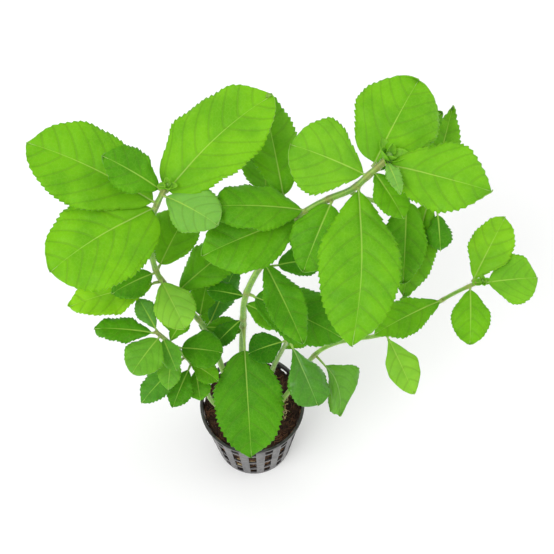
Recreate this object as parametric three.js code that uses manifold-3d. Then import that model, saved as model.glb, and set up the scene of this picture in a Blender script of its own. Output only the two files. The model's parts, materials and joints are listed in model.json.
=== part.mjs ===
// Potted water wisteria: a bunch of leafy stems rooted in a coir plug, in a slotted net pot.
// Millimetres, +Z up. The origin is the centre of the pot's underside, and the plant faces -Y.
import * as THREE from 'three';
import { mergeVertices } from 'three/addons/utils/BufferGeometryUtils.js';
import Module from 'manifold-3d';

const wasm = await Module();
wasm.setup();

// Net pot
const POT_HEIGHT = 50;
const RIM_DIAMETER = 50;
const BASE_DIAMETER = 38.4;
const WALL = 0.8;
const FLOOR = 1.4;
const RIM_FLANGE = 0.4;
const RIM_THICKNESS = 1.5;
const POT_SIDES = 54;

// Slots in the pot's wall and floor
const SLOT_COLUMNS = 18;
const SLOT_ROW_SHARES = [0.2, 0.28, 0.34, 0.18];
const SLOT_WIDTH_SHARE = 0.46;
const SLOT_RIB = 2.2;
const BASE_BAND = 3;
const RIM_BAND = 2.6;
const FLOOR_SLOTS = 9;
const FLOOR_SLOT_WIDTH = 2.4;
const FLOOR_SLOT_INNER = 6.5;
const FLOOR_SLOT_OUTER = 14;
const SLOT_CUT_DEPTH = 5;

// Coir plug
const PLUG_DROP = 5;
const PLUG_DOME = 1.2;
const PLUG_SHOULDER_SHARE = 0.7;
const PLUG_CLEARANCE = 0.3;
const PLUG_SIDES = 36;
const ROOT_DEPTH = 7;
const SOCKET_CLEARANCE = 0.4;
const SOCKET_SIDES = 12;
const CUT_OVERSHOOT = 1;

// Plant
const PLANT_HEIGHT = 168;
const SURVEY_HEIGHT = 168;
const SEAT_GAP = 0.4;
const STEM_SIDES = 8;
const STEM_STEP = 9;
const STEM_COLLAR = 2;
const MAIN_STEM_DIAMETER = 3.2;
const LEFT_STEM_DIAMETER = 2.8;
const RIGHT_STEM_DIAMETER = 2.4;
const SHORT_STEM_DIAMETER = 2.4;
const LOW_STEM_DIAMETER = 2.2;
const BRANCH_DIAMETER = 1.8;
const BRANCH_AT = 0.9;
const PETIOLE_WIDTH = 1.5;
const PETIOLE_THICKNESS = 1.2;
const LEAF_THICKNESS = 0.7;
const LEAF_TIP_WIDTH = 0.8;
const LEAF_EDGE_SHARE = 0.6;
const BLADE_STEPS = 6;
const BLADE_LEAN = 0.78;
const BLADE_ROUNDNESS = 0.8;
const BUD_LENGTH = 5;
const BUD_WIDTH = 2.6;

const growth = PLANT_HEIGHT / SURVEY_HEIGHT;
const plugTop = POT_HEIGHT - PLUG_DROP;
const baseRadius = BASE_DIAMETER / 2;
const rimRadius = RIM_DIAMETER / 2;
const wallTopRadius = rimRadius - RIM_FLANGE;

const plant = new THREE.Group();

const finishes = {
  pot: new THREE.MeshStandardMaterial({ color: 0x2b2a2c, roughness: 0.45, metalness: 0 }),
  coir: new THREE.MeshStandardMaterial({ color: 0x3a2417, roughness: 0.95, metalness: 0 }),
  stem: new THREE.MeshStandardMaterial({ color: 0x8fae5f, roughness: 0.6, metalness: 0 }),
  leaf: new THREE.MeshStandardMaterial({ color: 0x55a01c, roughness: 0.5, metalness: 0 }),
  youngLeaf: new THREE.MeshStandardMaterial({ color: 0x7fc247, roughness: 0.5, metalness: 0 }),
};

function addPiece(name, geometry, material) {
  const piece = new THREE.Mesh(geometry, material);
  piece.name = name;
  plant.add(piece);
  return piece;
}

// A three.js geometry as a solid that can be cut
function toSolid(geometry) {
  const bare = geometry.clone();
  bare.deleteAttribute('normal');
  bare.deleteAttribute('uv');
  const merged = mergeVertices(bare, 1e-4);
  const vertProperties = new Float32Array(merged.attributes.position.array);
  const triVerts = new Uint32Array(merged.index.array);
  return new wasm.Manifold(new wasm.Mesh({ numProp: 3, vertProperties, triVerts }));
}

function toGeometry(solid) {
  const mesh = solid.getMesh();
  const geometry = new THREE.BufferGeometry();
  geometry.setAttribute('position', new THREE.BufferAttribute(mesh.vertProperties, 3));
  geometry.setIndex(new THREE.BufferAttribute(mesh.triVerts, 1));
  return geometry;
}

// A solid of revolution about Z, from its closed outline in radius and height
function turned(outline, sides) {
  const points = outline.map(([radius, height]) => new THREE.Vector2(radius, height));
  return new THREE.LatheGeometry(points, sides).rotateX(Math.PI / 2);
}

// Radius of the pot's outer wall at a height
function wallRadius(height) {
  return THREE.MathUtils.lerp(baseRadius, wallTopRadius, height / POT_HEIGHT);
}

function potBody() {
  const rimFoot = POT_HEIGHT - RIM_THICKNESS;
  return turned([
    [0, 0],
    [baseRadius, 0],
    [wallRadius(rimFoot), rimFoot],
    [rimRadius, rimFoot],
    [rimRadius, POT_HEIGHT],
    [wallTopRadius - WALL, POT_HEIGHT],
    [wallRadius(FLOOR) - WALL, FLOOR],
    [0, FLOOR],
  ], POT_SIDES);
}

// Window cutters: one column of slots, from the base band up to the rim band
function slotColumn(angle) {
  const zone = POT_HEIGHT - BASE_BAND - RIM_BAND;
  const open = zone - SLOT_RIB * (SLOT_ROW_SHARES.length - 1);
  const cutters = [];
  let foot = BASE_BAND;
  for (const share of SLOT_ROW_SHARES) {
    const height = open * share;
    const middle = foot + height / 2;
    const width = SLOT_WIDTH_SHARE * 2 * Math.PI * wallRadius(middle) / SLOT_COLUMNS;
    const cutter = new THREE.BoxGeometry(SLOT_CUT_DEPTH, width, height);
    cutter.translate(wallRadius(middle) - WALL / 2, 0, middle);
    cutters.push(toSolid(cutter.rotateZ(angle)));
    foot += height + SLOT_RIB;
  }
  return cutters;
}

function floorSlot(angle) {
  const length = FLOOR_SLOT_OUTER - FLOOR_SLOT_INNER;
  const cutter = new THREE.BoxGeometry(length, FLOOR_SLOT_WIDTH, SLOT_CUT_DEPTH);
  cutter.translate(FLOOR_SLOT_INNER + length / 2, 0, 0);
  return toSolid(cutter.rotateZ(angle));
}

function netPot() {
  const cutters = [];
  for (let column = 0; column < SLOT_COLUMNS; column++) {
    cutters.push(...slotColumn((column + 0.5) * 2 * Math.PI / SLOT_COLUMNS));
  }
  for (let slot = 0; slot < FLOOR_SLOTS; slot++) {
    cutters.push(floorSlot(slot * 2 * Math.PI / FLOOR_SLOTS));
  }
  const pot = cutters.reduce((body, cutter) => body.subtract(cutter), toSolid(potBody()));
  addPiece('net_pot', toGeometry(pot), finishes.pot);
}

// The plug fills the pot up to its headspace, with one socket for each rooted stem
function coirPlug(rootedStems) {
  const floor = FLOOR + PLUG_CLEARANCE;
  const innerRadius = (height) => wallRadius(height) - WALL - PLUG_CLEARANCE;
  const body = turned([
    [0, floor],
    [innerRadius(floor), floor],
    [innerRadius(plugTop - PLUG_DOME), plugTop - PLUG_DOME],
    [innerRadius(plugTop) * PLUG_SHOULDER_SHARE, plugTop],
    [0, plugTop],
  ], PLUG_SIDES);
  let plug = toSolid(body);
  for (const { root, radius } of rootedStems) {
    const bore = radius + SOCKET_CLEARANCE;
    const depth = ROOT_DEPTH + SOCKET_CLEARANCE + CUT_OVERSHOOT;
    const socket = new THREE.CylinderGeometry(bore, bore, depth, SOCKET_SIDES);
    socket.rotateX(Math.PI / 2).translate(root[0], root[1], plugTop + CUT_OVERSHOOT - depth / 2);
    plug = plug.subtract(toSolid(socket));
  }
  addPiece('coir_plug', toGeometry(plug), finishes.coir);
}

function roundSection(radius) {
  const section = new THREE.Shape();
  for (let side = 0; side < STEM_SIDES; side++) {
    const angle = side * 2 * Math.PI / STEM_SIDES;
    const corner = new THREE.Vector2(Math.cos(angle), Math.sin(angle)).multiplyScalar(radius);
    if (side === 0) section.moveTo(corner.x, corner.y);
    else section.lineTo(corner.x, corner.y);
  }
  return section.closePath();
}

// A place on the plant: X, Y and the height above the plug
function place([x, y, height]) {
  return new THREE.Vector3(x * growth, y * growth, plugTop + height * growth);
}

function addStem(name, diameter, curve) {
  const steps = Math.max(4, Math.round(curve.getLength() / STEM_STEP));
  const radius = diameter / 2;
  const geometry = new THREE.ExtrudeGeometry(roundSection(radius), { steps, extrudePath: curve });
  addPiece(name, geometry, finishes.stem);
  return { curve, radius };
}

// A stem that roots in the plug at [x, y] and grows through its places
function rootedStem(name, diameter, root, places) {
  const foot = new THREE.Vector3(root[0], root[1], plugTop - ROOT_DEPTH);
  const collar = new THREE.Vector3(root[0], root[1], plugTop + STEM_COLLAR);
  const curve = new THREE.CatmullRomCurve3([foot, collar, ...places.map(place)]);
  return { ...addStem(name, diameter, curve), root };
}

// Where a shoot or petiole of that half width, leaving along a direction, sits against a stem
function seatOn(stem, at, direction, halfWidth) {
  const cosine = Math.abs(direction.dot(stem.curve.getTangentAt(at)));
  const sine = Math.sqrt(1 - cosine ** 2);
  const reach = (stem.radius + SEAT_GAP + cosine * halfWidth) / sine;
  return stem.curve.getPointAt(at).addScaledVector(direction, reach);
}

// Half the blade's width at a share of its length
function bladeHalfWidth(share, width) {
  const swell = Math.sin(Math.PI * share ** BLADE_LEAN) ** BLADE_ROUNDNESS;
  return Math.max(LEAF_TIP_WIDTH / 2, swell * width / 2);
}

// One leaf along +X with its upper face to +Z: a thin plate that is a petiole first and then a blade.
// droop is the turn of the midrib from base to tip, fold lifts both halves of the blade; degrees.
function leafGeometry({ petiole, blade, width, droop, fold }) {
  const length = petiole + blade;
  const geometry = new THREE.BoxGeometry(1, 1, 1, BLADE_STEPS + 1, 2, 1);
  const corners = geometry.attributes.position;
  const turn = THREE.MathUtils.degToRad(droop);
  const lift = THREE.MathUtils.degToRad(fold);
  for (let i = 0; i < corners.count; i++) {
    const step = Math.round((corners.getX(i) + 0.5) * (BLADE_STEPS + 1));
    const share = Math.max(0, step - 1) / BLADE_STEPS;
    const along = step === 0 ? 0 : petiole + blade * share;
    const onPetiole = step < 2 && share === 0;
    const half = onPetiole ? PETIOLE_WIDTH / 2 : bladeHalfWidth(share, width);
    const side = corners.getY(i) * 2;
    const edge = side === 0 ? 1 : LEAF_EDGE_SHARE;
    const thickness = (onPetiole ? PETIOLE_THICKNESS : LEAF_THICKNESS) * edge;
    const rise = corners.getZ(i) * thickness + Math.abs(side) * half * Math.sin(lift);
    const pitch = turn * (0.5 - along / length);
    const spineX = length * (Math.sin(turn / 2) - Math.sin(pitch)) / turn;
    const spineZ = length * (Math.cos(pitch) - Math.cos(turn / 2)) / turn;
    corners.setXYZ(
      i,
      spineX - rise * Math.sin(pitch),
      side * half * Math.cos(lift),
      spineZ + rise * Math.cos(pitch),
    );
  }
  return geometry;
}

// A leaf on a stem. at is its share of the way up the stem; azimuth turns from +X towards +Y, rise
// tips the leaf up and roll turns it about its own length, all in degrees; lengths are surveyed sizes.
function addLeaf(stem, name, at, azimuth, rise, sizes, pose = {}) {
  const { droop = 24, fold = 8, roll = 0, young = false } = pose;
  const [petiole, blade, width] = sizes.map((size) => size * growth);
  const material = young ? finishes.youngLeaf : finishes.leaf;
  const leaf = addPiece(name, leafGeometry({ petiole, blade, width, droop, fold }), material);
  leaf.rotation.order = 'ZYX';
  leaf.rotation.set(...[roll, -rise, azimuth].map(THREE.MathUtils.degToRad));
  const start = new THREE.Vector3(1, 0, 0);
  start.applyAxisAngle(new THREE.Vector3(0, 1, 0), THREE.MathUtils.degToRad(-droop / 2));
  start.applyEuler(leaf.rotation);
  leaf.position.copy(seatOn(stem, at, start, PETIOLE_WIDTH / 2));
}

// A closed bud on the end of a shoot
function addBud(stem, name) {
  const bud = new THREE.SphereGeometry(0.5, 8, 6).scale(BUD_WIDTH, BUD_LENGTH, BUD_WIDTH);
  const piece = addPiece(name, bud, finishes.youngLeaf);
  const tangent = stem.curve.getTangentAt(1);
  piece.quaternion.setFromUnitVectors(new THREE.Vector3(0, 1, 0), tangent);
  piece.position.copy(stem.curve.getPointAt(1)).addScaledVector(tangent, SEAT_GAP + BUD_LENGTH / 2);
}

// Stems: diameter, root in the plug, then places as X, Y and height above the plug
const mainStem = rootedStem('stem_main', MAIN_STEM_DIAMETER, [-3, 5], [
  [-4, 9, 35], [-3, 13, 62], [-1, 14, 91], [6, 17, 113], [16, 20, 135],
  [26, 22, 148], [40, 24, 157], [47, 27, 165], [51, 29, 168],
]);
const leftStem = rootedStem('stem_left', LEFT_STEM_DIAMETER, [-10, 6], [
  [-14, 9, 30], [-16, 10, 50], [-20, 12, 66], [-30, 15, 89], [-36, 17, 103],
  [-37, 21, 127], [-33, 24, 144], [-29, 26, 153],
]);
const rightStem = rootedStem('stem_right', RIGHT_STEM_DIAMETER, [13, 0], [
  [19, 2, 21], [25, 4, 43], [34, 7, 56], [46, 8, 61],
  [58, 9, 64], [70, 10, 77], [81, 12, 93], [92, 14, 102],
]);
const shortStem = rootedStem('stem_short', SHORT_STEM_DIAMETER, [7, 8], [
  [10, 8, 29], [14, 7, 51], [17, 6, 67],
]);
const lowStem = rootedStem('stem_low', LOW_STEM_DIAMETER, [-14, -4], [
  [-19, -4, 21], [-22, -4, 51], [-28, -4, 73], [-37, -3, 92],
]);

netPot();
coirPlug([mainStem, leftStem, rightStem, shortStem, lowStem]);

// A side branch of the main stem, behind the crown
const branchPlaces = [[48, 27, 143], [60, 31, 138], [73, 34, 137]].map(place);
const branchHeading = branchPlaces[0].clone().sub(mainStem.curve.getPointAt(BRANCH_AT)).normalize();
const branchFoot = seatOn(mainStem, BRANCH_AT, branchHeading, BRANCH_DIAMETER / 2);
const branchCurve = new THREE.CatmullRomCurve3([branchFoot, ...branchPlaces]);
const branchStem = addStem('stem_branch', BRANCH_DIAMETER, branchCurve);

// Leaves: place on the stem, azimuth, rise, [petiole, blade, width], pose
addLeaf(leftStem, 'leaf_left_crown_outer', 0.95, 160, 16, [4, 47, 32], { roll: -12 });
addLeaf(leftStem, 'leaf_left_crown_upper', 0.99, 166, 36, [3, 21, 18], { roll: -8 });
addLeaf(leftStem, 'leaf_left_crown_back', 0.965, 38, 20, [4, 48, 31]);
addLeaf(leftStem, 'leaf_left_crown_front', 0.94, -144, -2, [4, 40, 36], { roll: -14 });
addLeaf(leftStem, 'leaf_left_crown_pale', 0.98, -36, 8, [3, 21, 20], { young: true });
addBud(leftStem, 'bud_left_shoot');
addLeaf(leftStem, 'leaf_left_stem_back', 0.70, 62, 16, [3, 24, 22]);
addLeaf(leftStem, 'leaf_left_stem_inner', 0.60, 40, 14, [3, 34, 20]);
addLeaf(leftStem, 'leaf_left_stem_light', 0.68, -62, -14, [3, 19, 17]);
addLeaf(leftStem, 'leaf_left_stem_small', 0.47, 78, 20, [2, 13, 12]);
addLeaf(leftStem, 'leaf_left_stem_long', 0.66, -165, -4, [4, 33, 20]);
addLeaf(leftStem, 'leaf_left_stem_dark', 0.70, -148, 4, [2, 16, 16]);
addLeaf(leftStem, 'leaf_left_stem_centre', 0.42, 64, 16, [4, 25, 14]);
addLeaf(leftStem, 'leaf_left_stem_young', 0.55, 73, 30, [2, 8, 4], { young: true });

addLeaf(mainStem, 'leaf_main_crown_left', 0.95, 163, 14, [2, 26, 29], { roll: -12 });
addLeaf(mainStem, 'leaf_main_crown_back', 0.95, 60, 20, [3, 31, 32]);
addLeaf(mainStem, 'leaf_main_crown_back_small', 0.93, 43, 4, [4, 34, 15]);
addLeaf(mainStem, 'leaf_main_crown_right', 0.985, -23, 8, [3, 34, 27], { roll: 10 });
addLeaf(mainStem, 'leaf_main_crown_young', 0.995, -80, 20, [2, 16, 6], { young: true });
addLeaf(mainStem, 'leaf_main_crown_front', 0.925, -93, -24, [2, 54, 30]);
addLeaf(mainStem, 'leaf_main_stem_left', 0.81, -176, 10, [2, 33, 21]);
addLeaf(mainStem, 'leaf_main_stem_left_lower', 0.79, -160, -10, [2, 35, 28], { roll: -10 });
addLeaf(mainStem, 'leaf_main_stem_left_under', 0.87, -116, -32, [2.5, 24, 20]);
addLeaf(mainStem, 'leaf_main_stem_back_upper', 0.75, 101, 12, [12, 42, 20]);
addLeaf(mainStem, 'leaf_main_stem_back_lower', 0.66, 93, 6, [22, 28, 19]);
addLeaf(mainStem, 'leaf_main_stem_front', 0.63, -62, -24, [2, 32, 16]);
addLeaf(mainStem, 'leaf_main_stem_dark', 0.60, 6, 6, [7, 17, 15]);
addLeaf(mainStem, 'leaf_main_stem_broad', 0.51, -24, -8, [4, 38, 25]);
addLeaf(mainStem, 'leaf_main_stem_small', 0.40, -137, -14, [2, 14, 10]);
addLeaf(mainStem, 'leaf_pot_front', 0.37, -86, -34, [11, 46, 31]);

addLeaf(branchStem, 'leaf_branch_back', 0.93, 74, 10, [4, 33, 15]);
addLeaf(branchStem, 'leaf_branch_shaded', 0.7, -92, -34, [2, 29, 17]);
addLeaf(branchStem, 'leaf_branch_curled', 0.98, -84, -30, [9, 12, 11]);
addLeaf(branchStem, 'leaf_branch_lower', 0.93, -108, -50, [4, 38, 17]);

addLeaf(rightStem, 'leaf_right_tip_back', 0.98, 60, 24, [2, 26, 18]);
addLeaf(rightStem, 'leaf_right_tip_outer', 0.99, 4, 4, [1, 19, 21], { roll: 12 });
addLeaf(rightStem, 'leaf_right_tip_front', 0.98, -92, -20, [2, 20, 16]);
addBud(rightStem, 'bud_right_shoot');
addLeaf(rightStem, 'leaf_right_stem_inner', 0.89, -152, -2, [4, 27, 17]);
addLeaf(rightStem, 'leaf_right_stem_smooth', 0.65, -66, -14, [3, 24, 14], { young: true });
addLeaf(rightStem, 'leaf_right_stem_folded', 0.41, -46, -18, [7, 22, 19]);

addLeaf(shortStem, 'leaf_short_stem_glossy', 0.98, -64, -24, [5, 26, 17]);
addLeaf(shortStem, 'leaf_short_stem_shaded', 0.95, -162, -6, [3, 18, 17]);

addLeaf(lowStem, 'leaf_low_tip_back', 0.98, 122, 20, [2, 12, 9]);
addLeaf(lowStem, 'leaf_low_tip_outer', 0.985, 178, 6, [2, 21, 12]);
addLeaf(lowStem, 'leaf_low_tip_front', 0.965, -122, 0, [2, 16, 17]);
addLeaf(lowStem, 'leaf_low_tip_inner', 0.95, -66, -10, [1.5, 12, 11]);
addLeaf(lowStem, 'leaf_low_stem_round', 0.85, -6, -2, [3, 15, 17]);
addLeaf(lowStem, 'leaf_low_stem_outer', 0.76, -134, -12, [6, 19, 13]);
addLeaf(lowStem, 'leaf_low_stem_front', 0.87, -96, -18, [3, 14, 10]);
addLeaf(lowStem, 'leaf_low_stem_lower', 0.69, -114, -20, [4, 15, 12]);
addLeaf(lowStem, 'leaf_low_stem_inner', 0.64, -80, -20, [2, 11, 11]);

export default plant;
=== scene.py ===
# Potted water wisteria: leaves, stems, coir and net pot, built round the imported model.
import json
import math
import random

import bmesh
import bpy
from mathutils import Matrix, Vector, noise


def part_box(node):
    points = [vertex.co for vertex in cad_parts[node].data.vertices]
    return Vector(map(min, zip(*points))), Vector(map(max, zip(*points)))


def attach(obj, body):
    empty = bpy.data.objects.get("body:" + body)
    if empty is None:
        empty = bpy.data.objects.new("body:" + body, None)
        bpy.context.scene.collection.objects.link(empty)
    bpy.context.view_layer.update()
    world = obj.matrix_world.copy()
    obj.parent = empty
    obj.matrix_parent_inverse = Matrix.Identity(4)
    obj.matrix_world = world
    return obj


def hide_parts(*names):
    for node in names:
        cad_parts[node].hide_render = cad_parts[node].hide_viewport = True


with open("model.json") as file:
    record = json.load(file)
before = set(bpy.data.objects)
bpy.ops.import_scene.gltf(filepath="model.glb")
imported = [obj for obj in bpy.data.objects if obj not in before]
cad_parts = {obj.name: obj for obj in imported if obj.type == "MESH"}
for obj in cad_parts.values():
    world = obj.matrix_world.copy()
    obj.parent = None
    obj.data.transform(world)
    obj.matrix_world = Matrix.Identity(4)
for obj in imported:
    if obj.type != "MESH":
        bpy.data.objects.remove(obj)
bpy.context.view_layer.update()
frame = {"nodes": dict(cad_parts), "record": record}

MM = 0.001

# Leaf blades; a leaf shorter than FULL_LEAF has finer teeth, veins and waves
FULL_LEAF = 40 * MM
BLADE_THICKNESS = 0.32 * MM
TOOTH_PITCH = 2.2 * MM
TOOTH_ROWS = 6
TOOTH_DEPTH = 1.0 * MM
COLUMN_WIDTH = 1.15 * MM
VEIN_PITCH = 7.4 * MM
QUILT_HEIGHT = 0.65 * MM
GUTTER_DEPTH = 0.5 * MM
GUTTER_WIDTH = 0.7 * MM
MARGIN_WAVE = 1.5 * MM
MARGIN_RIPPLE = 0.7 * MM
TIP_DIP = 1.6 * MM
FOLD_START = 0.4
FULL_FOLD = math.radians(80)

# Petioles, which run on under the blade as the midrib
PETIOLE_RADIUS = 0.62 * MM
PETIOLE_OVERLAP = 1.5 * MM
PETIOLE_SIDES = 8
RIB_TIP_RADIUS = 0.1 * MM
RIB_SINK = 0.12 * MM
GUTTER_SINK = 0.4 * MM
RIB_POINTS = 9
RIB_ROW = 2.2 * MM

# How far apart the corner points of one rung of a CAD leaf or one ring of a CAD stem can lie
LEAF_CORNER_REACH = 0.9 * MM
STEM_CORNER_REACH = 1.6 * MM

# Stems; a rooted stem has no hairs below BARE_FOOT, and swells within NODE_LENGTH of each petiole,
# which counts as its own when the petiole's base lies within NODE_REACH of its centre line
STEM_SIDES = 20
STEM_ROW = 1.2 * MM
STEM_TAPER = 0.66
HAIR_LENGTH = 1.1 * MM
HAIR_RADIUS = 0.045 * MM
HAIRS_PER_MM = 4
HAIRS_PER_TUFT = 60
BARE_FOOT = 0.28
NODE_LENGTH = 1.5 * MM
NODE_REACH = 3.5 * MM

# Shoot tips
MAIN_SHOOT_SIZE = 7 * MM
YOUNG_LEAF_THICKNESS = 0.25 * MM
YOUNG_LEAF_YOUTH = 0.3
YOUNG_LEAF_BRIGHT = 1.15

# Coir
FIBRES_ON_TOP = 420
FIBRES_ON_SIDE = 520
FIBRE_RADIUS = 0.13 * MM
ROOTS = 16
LOOSE_BITS = 14
COIR_CREEP = 2.2 * MM
COIR_GAP = 0.2 * MM
PLUG_STEPS = 96

# Pot
# Painted shade: the pot is darker in a band that starts this far below its rim's top and fades in over the
# next length
RIM_SHADE_DEPTH = 2.4 * MM
RIM_SHADE_FADE = 1.0 * MM
MOULDED_RADIUS = 0.22 * MM

# Camera and light
CAMERA_ELEVATION = 62
CAMERA_RIGHT = 11.8 * MM
CAMERA_BACK = 180.2 * MM
CAMERA_HEIGHT = 517.2 * MM
CAMERA_LENS = 67.6
FLOOR_REACH = 6
SURROUND_LIGHT = 0.85
SOFTBOX_SIZE = 1.2
KEY_POWER = 16
FILL_POWER = 4

# The ways in which a leaf differs from a plain one. Left and right are seen from the petiole to the tip.
#   youth, tone_and_shade   how pale its tissue is, and a factor on its green: partly its own tone, partly painted shade for leaves that lie in shade
#   wide, long      its width and length as shares of the CAD plate's
#   sweep, hook     how far the middle of the midrib and its tip are carried to the left, in mm
#   sessile         how far the blade reaches down the petiole, in mm
#   twist, curl     turn of the blade in degrees, and how far its margin curls down
#   widest          the share of the length where it is widest
#   feet, point     smaller values make fuller ends (left and right half of the foot, and the tip)
#   lean            how much wider the left half is than the right
#   left, right     fold of each half: 1 is bent by FULL_FOLD upwards, -1 downwards
#   teeth, gloss    depth of the teeth, and whether the upper face is glossy
USUAL_WAY = {
    "youth": 0.04, "tone_and_shade": 0.92, "wide": 1.05, "long": 1, "sweep": 0, "hook": 0, "sessile": 2,
    "twist": 5, "curl": 0.35, "widest": 0.45, "feet": (0.62, 0.62), "point": 0.78, "lean": 0,
    "left": 0, "right": 0, "teeth": 1, "gloss": False,
}
# The per-leaf green factor is partly each leaf's own tone and partly painted shade, set low for leaves that
# lie in shade
LEAF_WAYS = {
    "leaf_left_crown_outer": {"tone_and_shade": 1.0, "sweep": -2, "widest": 0.48, "feet": (0.6, 0.6), "sessile": 5},
    "leaf_left_crown_upper": {
        "tone_and_shade": 0.84, "twist": -8, "curl": 0.5, "teeth": 1.3, "feet": (0.6, 0.6), "sessile": 5},
    "leaf_left_crown_back": {
        "tone_and_shade": 1.07, "youth": 0.06, "widest": 0.42, "feet": (0.34, 0.42), "point": 0.62, "wide": 1.12,
        "sweep": 2, "sessile": 5},
    "leaf_left_crown_front": {
        "tone_and_shade": 1.11, "sweep": -2, "widest": 0.5, "feet": (0.34, 0.7), "point": 0.66, "lean": 0.14,
        "sessile": 5},
    "leaf_left_crown_pale": {
        "youth": 0.7, "tone_and_shade": 1.0, "widest": 0.5, "feet": (0.7, 0.7), "point": 0.66, "sessile": 5},
    "leaf_left_stem_back": {"tone_and_shade": 1.0, "feet": (0.5, 0.5), "lean": 0.1},
    "leaf_left_stem_light": {"youth": 0.4, "tone_and_shade": 1.18, "point": 0.66},
    "leaf_left_stem_dark": {"tone_and_shade": 0.76, "teeth": 1.2},
    "leaf_left_stem_small": {"tone_and_shade": 0.82, "feet": (0.5, 0.5), "point": 0.6},
    "leaf_left_stem_long": {"tone_and_shade": 1.24},
    "leaf_left_stem_centre": {"youth": 0.35, "tone_and_shade": 0.55, "twist": 14, "right": -0.5},
    "leaf_left_stem_inner": {"tone_and_shade": 0.9, "twist": 10, "curl": 1.1, "sweep": -2},
    "leaf_main_crown_left": {
        "youth": 0.12, "tone_and_shade": 1.07, "twist": -4, "feet": (0.75, 0.75), "widest": 0.52, "point": 0.58,
        "teeth": 1.3, "sessile": 5},
    "leaf_main_crown_back": {
        "youth": 0.06, "tone_and_shade": 1.09, "widest": 0.5, "feet": (0.36, 0.7), "point": 0.58, "right": -0.3,
        "sessile": 5},
    "leaf_main_crown_back_small": {"tone_and_shade": 0.85},
    "leaf_main_crown_right": {
        "youth": 0.08, "tone_and_shade": 1.09, "sweep": -1, "widest": 0.46, "feet": (0.6, 0.42), "point": 0.84,
        "teeth": 1.5, "sessile": 5},
    "leaf_main_crown_young": {"youth": 0.7, "tone_and_shade": 1.0, "twist": 10, "teeth": 1.3},
    "leaf_main_crown_front": {
        "youth": 0.06, "tone_and_shade": 0.98, "sweep": 4, "curl": 0.5, "feet": (0.75, 0.75), "point": 0.74,
        "sessile": 5},
    "leaf_main_stem_left": {
        "tone_and_shade": 0.82, "twist": 10, "curl": 0.9, "feet": (0.6, 0.8), "point": 0.66, "sessile": 5},
    "leaf_main_stem_left_lower": {"tone_and_shade": 0.9, "feet": (0.5, 0.7), "sessile": 5},
    "leaf_main_stem_left_under": {"tone_and_shade": 0.82, "feet": (0.45, 0.45), "sessile": 5},
    "leaf_main_stem_back_upper": {"tone_and_shade": 0.95, "feet": (0.5, 0.5), "teeth": 1.4},
    "leaf_main_stem_back_lower": {"tone_and_shade": 0.95, "youth": 0.15},
    "leaf_main_stem_front": {"tone_and_shade": 0.74, "feet": (0.6, 0.6)},
    "leaf_main_stem_dark": {"tone_and_shade": 0.6, "feet": (0.5, 0.5)},
    "leaf_main_stem_broad": {"tone_and_shade": 0.72, "feet": (0.5, 0.5)},
    "leaf_main_stem_small": {"tone_and_shade": 0.6},
    "leaf_branch_back": {"tone_and_shade": 1.0, "feet": (0.6, 0.6), "point": 1.15, "widest": 0.35, "teeth": 1.3},
    "leaf_branch_shaded": {"tone_and_shade": 0.84, "feet": (0.36, 0.36), "point": 0.6},
    "leaf_branch_lower": {"tone_and_shade": 0.95, "feet": (0.5, 0.5)},
    "leaf_branch_curled": {"tone_and_shade": 0.66, "twist": 16, "curl": 1.6, "teeth": 1.6, "feet": (0.5, 0.5)},
    "leaf_pot_front": {
        "tone_and_shade": 0.72, "feet": (0.48, 0.48), "point": 0.74, "widest": 0.42, "teeth": 1.8},
    "leaf_right_stem_inner": {"tone_and_shade": 0.95, "feet": (0.6, 0.75), "sessile": 4},
    "leaf_right_stem_smooth": {"youth": 0.3, "tone_and_shade": 1.26, "teeth": 0, "feet": (0.9, 0.9)},
    "leaf_right_stem_folded": {
        "youth": 0.1, "tone_and_shade": 0.98, "twist": -8, "curl": 0.3, "right": -0.8, "wide": 1.2, "long": 0.86,
        "gloss": True, "feet": (0.8, 1.0), "point": 1.15, "widest": 0.55, "hook": -10, "lean": 0.2},
    "leaf_right_tip_back": {"youth": 0.1, "tone_and_shade": 1.22, "sessile": 4, "feet": (0.7, 0.7)},
    "leaf_right_tip_outer": {
        "youth": 0.15, "tone_and_shade": 1.08, "point": 0.6, "sessile": 4, "feet": (0.75, 0.75)},
    "leaf_right_tip_front": {"tone_and_shade": 1.04, "sessile": 4, "point": 0.66},
    "leaf_short_stem_glossy": {
        "youth": 0.04, "tone_and_shade": 0.74, "left": -0.3, "point": 0.5, "gloss": True, "feet": (0.85, 0.85),
        "wide": 1.18, "widest": 0.62, "long": 0.96},
    "leaf_short_stem_shaded": {"tone_and_shade": 0.46, "feet": (0.6, 0.6), "long": 0.78, "wide": 0.95},
    "leaf_low_tip_front": {"youth": 0.3, "tone_and_shade": 0.95, "feet": (0.55, 0.55), "point": 0.6},
    "leaf_low_tip_back": {"youth": 0.6, "tone_and_shade": 0.78},
    "leaf_low_tip_outer": {"tone_and_shade": 0.66, "point": 0.55, "curl": 0.8},
    "leaf_low_tip_inner": {"youth": 0.3, "left": 0.5, "right": 0.5, "tone_and_shade": 0.85},
    "leaf_low_stem_round": {"tone_and_shade": 0.62, "curl": 0.5, "feet": (0.45, 0.45), "point": 0.55, "teeth": 0.6},
    "leaf_low_stem_lower": {"tone_and_shade": 0.68, "curl": 0.5},
    "leaf_low_stem_inner": {"tone_and_shade": 0.75},
    "leaf_low_stem_outer": {"youth": 0.3, "tone_and_shade": 0.7, "twist": 8, "curl": 0.5, "teeth": 1.4},
    "leaf_low_stem_front": {"youth": 0.3, "tone_and_shade": 0.95},
    "small_leaf_2": {"tone_and_shade": 0.5},
    "small_leaf_4": {"tone_and_shade": 0.75},
}

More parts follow.
